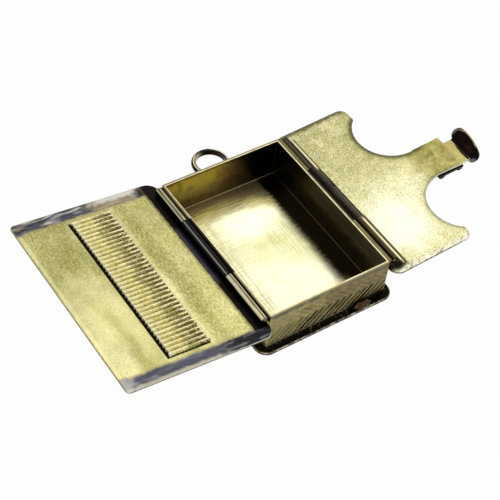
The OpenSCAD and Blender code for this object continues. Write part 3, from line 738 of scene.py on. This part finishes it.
def flange_and_underside(m):
    """Black, flecked flange outside the walls, and dull brass below."""
    past_x = abs(m.x) - inner_x * PER_MM
    past_y = abs(m.y) - inner_y * PER_MM
    outside = m.either(past_x, past_y).ramp(0.2, 0.4)
    m.layer(outside, (0.014, 0.011, 0.009), roughness=0.34)
    m.layer(outside * m.clouds(0.7, 4, 0.6, 0.68, seed=29), (0.24, 0.22, 0.19), 0.7, roughness=0.3)
    under = m.z.ramp(0.2, 0.05)
    m.layer(under, (0.3, 0.26, 0.12), roughness=0.36)
    m.layer(under * m.clouds(6, 4, 0.45, 0.7, seed=61), (0.16, 0.13, 0.07), 0.8, roughness=0.4)


def base_material():
    """Bright brushed floor inside the walls, and a dark tarnished flange outside them."""
    m = Metal("base_brass", (0.6, 0.58, 0.33), 0.2)
    crosswise = m.noise(0.25, 2, stretch=(0.03, 1, 1), seed=41)
    m.layer(m.clouds(5, 5, 0.44, 0.62, seed=19), (0.5, 0.475, 0.2), 0.6)
    # Painted highlight: pale patch towards the far wall
    m.layer(m.patch(2, 11, 13, 8, 0.5, 3), (1, 0.97, 0.76), 0.5)
    slant = m.y + 0.4 * m.x
    # Painted highlight: paler floor towards the near side
    m.layer(slant.jitter(m.noise(4, 3, seed=2), 4).ramp(1, -6), (0.82, 0.8, 0.63), 0.5)
    floor_scratches(m, crosswise)
    far_floor_bands(m, crosswise)
    m.grain((0.55, 0.51, 0.25), WORN_WHITE, 0.4, 0.2)
    m.specks(BROWN_TARNISH_AND_SHADE, 3.2, 0.15, 0.1)
    flap_wall_shade(m)
    flange_and_underside(m)
    m.bump(m.noise(9, 2, seed=4), 0.1)
    m.bump(m.y.ramp(5, 22), 0.55)
    return m.done()


LOOP_OUTER_R = 4.75


def loop_material():
    """Brown-black wire with painted highlight lines along both sides of the ring, tan inside by the lid."""
    m = Metal("loop_brass", (0.022, 0.015, 0.008), 0.24)
    m.layer(m.clouds(1.8, 3, 0.46, 0.6, seed=5), (0.01, 0.007, 0.005), 0.8)
    middle_y = loop_high.y * PER_MM - LOOP_OUTER_R
    out = m.away(0, middle_y).jitter(m.noise(1.2, 3, seed=9), 0.14)
    sides = abs(m.x).ramp(1.4, 2.8)
    inner = out.ramp(LOOP_OUTER_R - 0.62, LOOP_OUTER_R - 0.78) * m.x.ramp(0, -2.2)
    m.layer(inner, (0.36, 0.28, 0.15), 0.85, roughness=0.28)
    m.layer(out.line(LOOP_OUTER_R - 0.52, 0.2) * sides, WORN_EDGE_AND_HIGHLIGHT, 0.95, roughness=0.24)
    m.layer(out.line(LOOP_OUTER_R - 0.16, 0.16) * m.x.ramp(1.4, 2.8), SILVERY, 0.6)
    m.bump(m.noise(0.5, 2), 0.03)
    return m.done()


# Thumb piece's oval: rise of its face, thickness, half height and width, and turn in its own plane
THUMB_SLOPE = math.radians(44.36)
THUMB_T = 0.6
THUMB_HALF_H = 2.2
THUMB_HALF_W = 5.15
THUMB_TWIST = math.radians(10.5)


def thumb_oval(m):
    """How far a point lies up the oval and along it from its middle, in half widths."""
    level, rise = math.cos(THUMB_SLOPE), math.sin(THUMB_SLOPE)
    turn_level, turn_rise = math.cos(THUMB_TWIST), math.sin(THUMB_TWIST)
    top = (thumb_high.x * PER_MM - THUMB_T * rise) * level + thumb_high.z * PER_MM * rise
    middle = top - math.hypot(THUMB_HALF_H * turn_level, THUMB_HALF_W * turn_rise)
    up = m.x * level + m.z * rise - middle
    across = m.y - (thumb_low.y + thumb_high.y) / 2 * PER_MM
    high = (up * turn_level - across * turn_rise) / THUMB_HALF_H
    along = (up * turn_rise + across * turn_level) / THUMB_HALF_W
    return high, along


def thumb_material():
    """Blackened oval, red-brown in its bowl, with painted highlights, gold on its upper rim and grey at its
    ends.
    """
    m = Metal("thumb_brass", (0.008, 0.006, 0.005), 0.34)
    high, along = thumb_oval(m)
    out = m.length(high, along)
    streaks = m.clouds(1, 4, 0.42, 0.58, stretch=(1, 0.4, 1))
    m.layer(out.ramp(0.7, 0.3) * streaks, (0.034, 0.016, 0.008), 0.8, roughness=0.4)
    rim = out.jitter(m.noise(1.2, 3, seed=12), 0.12).ramp(0.82, 0.9)
    upper = high.ramp(0.15, 0.45) * along.span(-0.35, 0.7, 0.2)
    m.layer(rim * upper, (0.5, 0.37, 0.17), 0.9, roughness=0.3)
    near_end = along.ramp(-0.45, -0.7) * high.ramp(0.2, -0.2)
    ends = m.either(along.ramp(0.78, 0.9), near_end)
    m.layer(rim * ends, (0.2, 0.205, 0.225), 0.8, roughness=0.3)
    m.bump(m.noise(0.7, 3), 0.04)
    return m.done()


def clouded(name, colour, roughness, *clouds, bump=None):
    """One colour under clouds, each of a size, detail, start and full level, colour, strength and seed."""
    m = Metal(name, colour, roughness)
    for *levels, cloud, strength, seed in clouds:
        m.layer(m.clouds(*levels, seed=seed), cloud, strength)
    if bump:
        size, detail, depth = bump
        m.bump(m.noise(size, detail), depth)
    return m


def edge_metal(name, colour, dull, roughness):
    """Rubbed edge: one colour, dulled in patches."""
    dulled = (1.4, 3, 0.48, 0.66, dull, 0.6, 0)
    return clouded(name, colour, roughness, dulled, bump=(0.4, 2, 0.02))


def stain(m):
    m.layer(m.clouds(0.6, 2, 0.56, 0.7, seed=8), BROWN_TARNISH_AND_SHADE, 0.5)


def edge_material(*look):
    m = edge_metal(*look)
    stain(m)
    return m.done()


def lid_edge_material():
    """Olive edge of the lid, silvery along its near end, with painted shade below."""
    m = edge_metal("lid_edge", (0.5, 0.45, 0.2), OLIVE_BRASS, 0.3)
    m.layer(m.y.ramp(-24.5, -25.5), (0.66, 0.63, 0.56), 0.9)
    stain(m)
    m.layer(lid_outside(m), LID_SIDE_SHADE, 0.85)
    return m.done()


def flap_edge_material():
    """Dark edge of the flap, rubbed silvery along the near bay and the near side of the tongue."""
    m = edge_metal("flap_edge", (0.1, 0.09, 0.065), BLACK_TARNISH_AND_SHADE, 0.34)
    lightened = m.y.ramp(-4, -5.5) * m.x.ramp(34, 37)
    m.layer(lightened, (0.72, 0.7, 0.62), 0.9, roughness=0.26)
    return m.done()


def flange_edge_material():
    """Dark edge of the base plate, with painted highlights in short runs."""
    lightened = (1.3, 4, 0.46, 0.58, (0.52, 0.47, 0.36), 0.9, 0)
    stained = (0.9, 3, 0.54, 0.64, BLACK_TARNISH_AND_SHADE, 0.7, 8)
    return clouded("flange_edge", (0.16, 0.135, 0.09), 0.28, lightened, stained).done()


def groove_material(name, colour):
    return clouded(name, colour, 0.45, (1.5, 3, 0.46, 0.7, BROWN_TARNISH_AND_SHADE, 0.4, 0)).done()


def pin_material():
    return clouded("pin_brass", (0.2, 0.165, 0.085), 0.4, (0.8, 3, 0.5, 0.75, BLACK_TARNISH_AND_SHADE, 0.6, 0)).done()


def residue_material():
    """Dull crust, not metal."""
    pale = (0.5, 4, 0.46, 0.64, (0.24, 0.15, 0.06), 0.8, 0)
    dark = (0.35, 3, 0.54, 0.66, (0.03, 0.018, 0.008), 0.8, 7)
    m = clouded("residue", (0.1, 0.052, 0.015), 0.8, pale, dark, bump=(0.3, 4, 0.1))
    m.surface.inputs["Metallic"].default_value = 0.0
    return m.done()


def black_material():
    """Blackened metal with red-brown streaks."""
    m = Metal("black_brass", (0.008, 0.006, 0.005), 0.34)
    streaks = m.clouds(1.2, 4, 0.5, 0.64, stretch=(1, 0.4, 1))
    m.layer(streaks, (0.04, 0.02, 0.012), 0.6, roughness=0.4)
    m.bump(m.noise(0.7, 3), 0.04)
    return m.done()


# Turn at a sharp edge, turn that still counts as flat, and distance within which points are one
SHARP = math.radians(28)
FLAT = math.radians(0.6)
SAME_POINT = 0.001 * MM

# Places of a piece's materials: broad faces, rounded edges and, on the walls, the faces inside
MAIN, EDGE, INNER = 0, 1, 2


def link(name, data, *materials):
    """Puts a mesh, a camera or a light into the scene."""
    piece = bpy.data.objects.new(name, data)
    for material in materials:
        data.materials.append(material)
    scene.collection.objects.link(piece)
    return piece


def shade(piece):
    """Smooth shading that keeps flat faces flat beside their rounded edges."""
    mesh = piece.data
    mesh.polygons.foreach_set("use_smooth", [True] * len(mesh.polygons))
    mesh.set_sharp_from_angle(angle=SHARP)
    weighted = piece.modifiers.new("weighted_normals", "WEIGHTED_NORMAL")
    weighted.keep_sharp = True


def mesh_of(bm, name):
    mesh = bpy.data.meshes.new(name)
    bm.to_mesh(mesh)
    bm.free()
    return mesh


def joined(node):
    """A node's mesh as a bmesh, with its split points joined and its flat faces whole."""
    bm = bmesh.new()
    bm.from_mesh(frame["nodes"][node].data)
    bmesh.ops.remove_doubles(bm, verts=bm.verts, dist=SAME_POINT)
    bmesh.ops.dissolve_limit(bm, angle_limit=FLAT, verts=bm.verts, edges=bm.edges)
    for face in bm.faces:
        face.material_index = MAIN
    return bm


def round_edges(bm, width):
    """Rounds the sharp edges, and gives the new faces the edge's material."""
    sharp = [e for e in bm.edges if len(e.link_faces) == 2 and e.calc_face_angle() > SHARP]
    made = bmesh.ops.bevel(
        bm, geom=sharp, offset=width, segments=2, profile=0.5, affect="EDGES", clamp_overlap=True)
    for face in made["faces"]:
        face.material_index = EDGE


def dressed(node, body, main, edge, width):
    """A finished piece that stands for a node: the same solid with rounded edges."""
    bm = joined(node)
    round_edges(bm, width)
    piece = link(node + "_finish", mesh_of(bm, node + "_finish"), main, edge)
    shade(piece)
    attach(piece, body)
    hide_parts(node)
    return piece


def added(name, bm, material):
    """A small piece on the case that stands for no node."""
    bmesh.ops.recalc_face_normals(bm, faces=bm.faces)
    piece = link(name, mesh_of(bm, name), material)
    shade(piece)
    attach(piece, "case")


# Engraving on the short walls: chevrons in pairs of lines, cut as grooves
CHEVRON_PITCH = 1.95 * MM
PAIR_GAP = 0.62 * MM
APEX_DROP = 5.4 * MM
UPPER_ARM = Vector((-4.4, 3.3)) * MM
LOWER_ARM = Vector((-4.5, -4.5)) * MM
UPPER_W = 0.11 * MM
LOWER_W = 0.34 * MM
ENGRAVED_MARGIN = 0.5 * MM
SHORTEST_CUT = 0.5 * MM
WORN_UP_TO = 9 * MM
WORN_FADE = 6 * MM
WORN_SHARE = 0.4
HAND_WAVES = ((0.35, 2.3), (0.15, 5.1))

# Distance within which a face counts as on the rim or on the walls' inner side
ON_FACE = 0.01 * MM


def groove(bm, a, b, width, side):
    """Adds a three-sided bar that cuts a groove from a to b, points in X and Z, into one short wall."""
    face_y = wall_high.y * side
    depth = width / 2
    run = (b - a).normalized()
    across = Vector((-run.y, run.x)) * width
    rings = []
    for end in (a, b):
        out = face_y + side * depth
        deep = face_y - side * depth
        rings.append([
            bm.verts.new((end.x + across.x, out, end.y + across.y)),
            bm.verts.new((end.x - across.x, out, end.y - across.y)),
            bm.verts.new((end.x, deep, end.y)),
        ])
    first, last = rings
    bm.faces.new(first)
    bm.faces.new(list(reversed(last)))
    for i in range(3):
        j = (i + 1) % 3
        bm.faces.new((first[j], first[i], last[i], last[j]))


def clipped(apex, arm):
    """The stretch of an arm that lies on the wall, or None."""
    low = wall_low.x + ENGRAVED_MARGIN
    high = wall_high.x - ENGRAVED_MARGIN
    start, end = apex, apex + arm
    if end.x > high or start.x < low:
        return None
    if start.x > high:
        start = apex + arm * ((high - apex.x) / arm.x)
    if end.x < low:
        end = apex + arm * ((low - apex.x) / arm.x)
    return (start, end) if (end - start).length > SHORTEST_CUT else None


def hand_cut(i):
    """Uneven weight of the i-th line, as a hand-held graver leaves it."""
    return sum((share * math.sin(rate * i) for share, rate in HAND_WAVES), 1)


def left_uncut(x):
    """Share of a line's weight that wear has left, least at the lid's end of the wall."""
    return WORN_SHARE + (1 - WORN_SHARE) * min(1, max(0, (x + WORN_UP_TO) / WORN_FADE))


def engraving_cutter(side, arm, width):
    bm = bmesh.new()
    count = int((wall_high.x - wall_low.x - arm.x) / CHEVRON_PITCH) + 1
    for i in range(2 * count):
        shift = (i // 2) * CHEVRON_PITCH - (i % 2) * PAIR_GAP
        apex = Vector((wall_low.x + shift, wall_high.z - APEX_DROP))
        stretch = clipped(apex, arm)
        if stretch:
            groove(bm, *stretch, width * hand_cut(i) * left_uncut(apex.x), side)
    bmesh.ops.recalc_face_normals(bm, faces=bm.faces)
    return mesh_of(bm, "engraving_cutter")


def cut_away(piece, cutter):
    """Takes the cutter's shape out of the piece, and leaves the cutter's material on the cut."""
    cut = piece.modifiers.new("cut", "BOOLEAN")
    cut.operation = "DIFFERENCE"
    cut.solver = "EXACT"
    cut.use_self = True
    cut.material_mode = "TRANSFER"
    cut.object = cutter
    evaluated = piece.evaluated_get(bpy.context.evaluated_depsgraph_get())
    mesh = bpy.data.meshes.new_from_object(evaluated)
    piece.modifiers.clear()
    piece.data = mesh
    bpy.data.objects.remove(cutter)


def engraved_walls(main, edge, inner, deep, light):
    """The wall band with a worn rim, inner faces in painted shade and engraved short walls."""
    piece = dressed("wall_band", "case", main, edge, 0.12 * MM)
    mesh = piece.data
    for material in (inner, deep, light):
        mesh.materials.append(material)
    for polygon in mesh.polygons:
        centre = polygon.center
        within = max(abs(centre.x) - inner_x, abs(centre.y) - inner_y) < ON_FACE
        on_rim = centre.z > wall_high.z - ON_FACE
        if on_rim:
            polygon.material_index = EDGE
        elif polygon.material_index == MAIN and within:
            polygon.material_index = INNER
    piece.modifiers.clear()
    for side in (-1, 1):
        for arm, width, material in ((UPPER_ARM, UPPER_W, light), (LOWER_ARM, LOWER_W, deep)):
            cut_away(piece, link("engraving_cutter", engraving_cutter(side, arm, width), material))
    shade(piece)


# Solder bead along the foot of the walls, inside, and up the corner where the band is closed
FAR_BEAD = 0.22 * MM
BEAD = 0.12 * MM
BEAD_HOLLOW = 0.3


def bead_section(size):
    """Corner points of a bead with a hollow face, as distances out from the two faces that it joins."""
    return [(0, size), (BEAD_HOLLOW * size, BEAD_HOLLOW * size), (size, 0), (0, 0)]


def bead(bm, size, ends, place):
    """Adds a bar whose corner points place gives, from an end and the distances out from two faces."""
    first, last = ([bm.verts.new(place(end, a, b)) for a, b in bead_section(size)] for end in ends)
    for k in range(4):
        n = (k + 1) % 4
        bm.faces.new((first[k], first[n], last[n], last[k]))
    bm.faces.new(first)
    bm.faces.new(list(reversed(last)))


def floor_seams(bright, dark):
    """Beads along three walls, and a heavier, brighter one along the far wall."""
    bm = bmesh.new()
    for side in (-1, 1):
        bead(bm, BEAD, (-inner_y, inner_y), lambda y, a, b: (side * (inner_x - a), y, base_high.z + b))
    added("floor_seam", bm, dark)
    for name, side, size, material in (("near_seam", -1, BEAD, dark), ("far_seam", 1, FAR_BEAD, bright)):
        bm = bmesh.new()
        bead(bm, size, (-inner_x, inner_x), lambda x, a, b: (x, side * (inner_y - a), base_high.z + b))
        added(name, bm, material)


def corner_seam(material):
    bm = bmesh.new()
    heights = base_high.z + BEAD, wall_high.z - 2 * BEAD
    bead(bm, BEAD, heights, lambda height, a, b: (inner_x - a, inner_y - b, height))
    added("corner_seam", bm, material)


# Crust of old residue on the flange, at the foot of the engraved near wall
RESIDUE_PLACE = Vector((9.7, -23.45, 0.8)) * MM
RESIDUE_HALF = Vector((2.0, 0.85, 0.9)) * MM
RESIDUE_LUMPS = ((2.2, 0.55), (5, 0.275))
RESIDUE_FOOT = -0.02 * MM


def residue(material):
    bm = bmesh.new()
    bmesh.ops.create_icosphere(bm, subdivisions=4, radius=1)
    for vertex in bm.verts:
        out = vertex.co.copy()
        lumpy = sum((share * noise.noise(rate * out) for rate, share in RESIDUE_LUMPS), 1)
        place = Vector(a * b for a, b in zip(out * lumpy, RESIDUE_HALF))
        place.z = max(place.z, RESIDUE_FOOT)
        vertex.co = RESIDUE_PLACE + place
    added("residue", bm, material)


def make_object():
    edge = edge_material("worn_edge", WORN_EDGE_AND_HIGHLIGHT, GOLD_BRASS, 0.26)
    lid_edge = lid_edge_material()
    flap_edge = flap_edge_material()
    dark_edge = edge_material("dark_edge", (0.05, 0.04, 0.026), BLACK_TARNISH_AND_SHADE, 0.34)
    seam = edge_material("seam", (0.36, 0.28, 0.16), (0.24, 0.19, 0.1), 0.34)
    dark_seam = edge_material("dark_seam", (0.13, 0.09, 0.06), BROWN_TARNISH_AND_SHADE, 0.34)
    deep = groove_material("deep_groove", (0.01, 0.008, 0.005))
    light = groove_material("light_groove", (0.12, 0.095, 0.04))
    pin = pin_material()
    dressed("base_plate", "case", base_material(), flange_edge_material(), 0.24 * MM)
    engraved_walls(engraved_wall_material(), rim_material(), inner_wall_material(), deep, light)
    floor_seams(seam, dark_seam)
    corner_seam(dark_seam)
    residue(residue_material())
    dressed("suspension_loop", "case", loop_material(), dark_edge, 0.08 * MM)
    for name, axis, tube in (("lid", lid_axis, NAVY_TUBE), ("flap", flap_axis, BROWN_TUBE)):
        for end in ("far", "near"):
            painted_light = knuckle_material(f"{name}_hinge_{end}", axis)
            dressed(f"{name}_hinge_{end}_knuckle", "case", painted_light, dark_edge, 0.05 * MM)
        dressed(f"{name}_hinge_pin", "case", pin, pin, 0.03 * MM)
        dark = dark_knuckle_material(name + "_middle_knuckle", axis, tube)
        dressed(f"{name}_knuckle", name, dark, dark_edge, 0.05 * MM)
    dressed("lid_plate", "lid", lid_material(), lid_edge, 0.12 * MM)
    dressed("striker_plate", "lid", striker_material(), edge, 0.04 * MM)
    dressed("flap_plate", "flap", flap_material(), flap_edge, 0.16 * MM)
    dressed("tongue_stiffener", "flap", black_material(), dark_edge, 0.1 * MM)
    thumb = thumb_material()
    dressed("thumb_piece", "flap", thumb, thumb, 0.16 * MM)


# Stage: a white floor, a pale surround that is brighter above the flap, and one soft box
FLOOR_HALF = 4.0
FLOOR_DROP = 0.02 * MM
FLOOR_WHITE_SHARE = 0.97
BRIGHT_SIDE = Vector((0.45, 0.35, 0.82)).normalized()
SURROUND_DIM = 0.45
SURROUND_BRIGHT = 0.85
SURROUND_RANGE = (-0.6, 0.9)
SOFTBOX_AZIMUTH = math.radians(36)
SOFTBOX_ELEVATION = math.radians(50)
SOFTBOX_DISTANCE = 0.6
SOFTBOX_SIZE = 0.3
SOFTBOX_POWER = 0.22


def make_floor():
    mesh = bpy.data.meshes.new("floor")
    corners = [(-1, -1), (1, -1), (1, 1), (-1, 1)]
    mesh.from_pydata([(FLOOR_HALF * x, FLOOR_HALF * y, 0) for x, y in corners], [], [(0, 1, 2, 3)])
    floor = link("floor", mesh, floor_material())
    floor.location.z = -FLOOR_DROP


def floor_material():
    """White paper that the camera and the metal see nearly white, with the object's shadow left on it."""
    material = bpy.data.materials.new("white_floor")
    material.use_nodes = True
    tree = material.node_tree
    paper = tree.nodes["Principled BSDF"]
    paper.inputs["Base Color"].default_value = (0.95, 0.95, 0.95, 1)
    paper.inputs["Roughness"].default_value = 0.9
    paper.inputs["Specular IOR Level"].default_value = 0.0
    white = add_node(tree, "ShaderNodeEmission")
    rays = add_node(tree, "ShaderNodeLightPath").outputs
    seen = rays["Is Camera Ray"]
    for kind in ("Is Glossy Ray", "Is Transmission Ray"):
        seen = add_node(tree, "ShaderNodeMath", {0: seen, 1: rays[kind]}, operation="MAXIMUM").outputs[0]
    share = add_node(tree, "ShaderNodeMath", {0: seen, 1: FLOOR_WHITE_SHARE}, operation="MULTIPLY")
    mixed = {0: share.outputs[0], 1: paper.outputs[0], 2: white.outputs[0]}
    mix = add_node(tree, "ShaderNodeMixShader", mixed)
    tree.links.new(mix.outputs[0], tree.nodes["Material Output"].inputs["Surface"])
    return material


def make_surround():
    world = bpy.data.worlds.new("studio")
    scene.world = world
    world.use_nodes = True
    tree = world.node_tree
    towards = add_node(tree, "ShaderNodeTexCoord").outputs["Generated"]
    facing = add_node(tree, "ShaderNodeVectorMath", {0: towards, 1: BRIGHT_SIDE}, operation="DOT_PRODUCT")
    inputs = facing.outputs["Value"], *SURROUND_RANGE, SURROUND_DIM, SURROUND_BRIGHT
    level = add_node(tree, "ShaderNodeMapRange", dict(enumerate(inputs)))
    background = tree.nodes["Background"]
    background.inputs["Color"].default_value = (1, 1, 1, 1)
    tree.links.new(level.outputs[0], background.inputs["Strength"])


def make_softbox():
    data = bpy.data.lights.new("softbox", "AREA")
    data.shape = "DISK"
    data.size = SOFTBOX_SIZE
    data.energy = SOFTBOX_POWER
    lamp = link("softbox", data)
    direction = direction_of(SOFTBOX_AZIMUTH, SOFTBOX_ELEVATION)
    lamp.location = rim_centre + SOFTBOX_DISTANCE * direction
    lamp.rotation_mode = "QUATERNION"
    lamp.rotation_quaternion = direction.to_track_quat("Z", "Y")


make_camera()
make_object()
make_floor()
make_surround()
make_softbox()
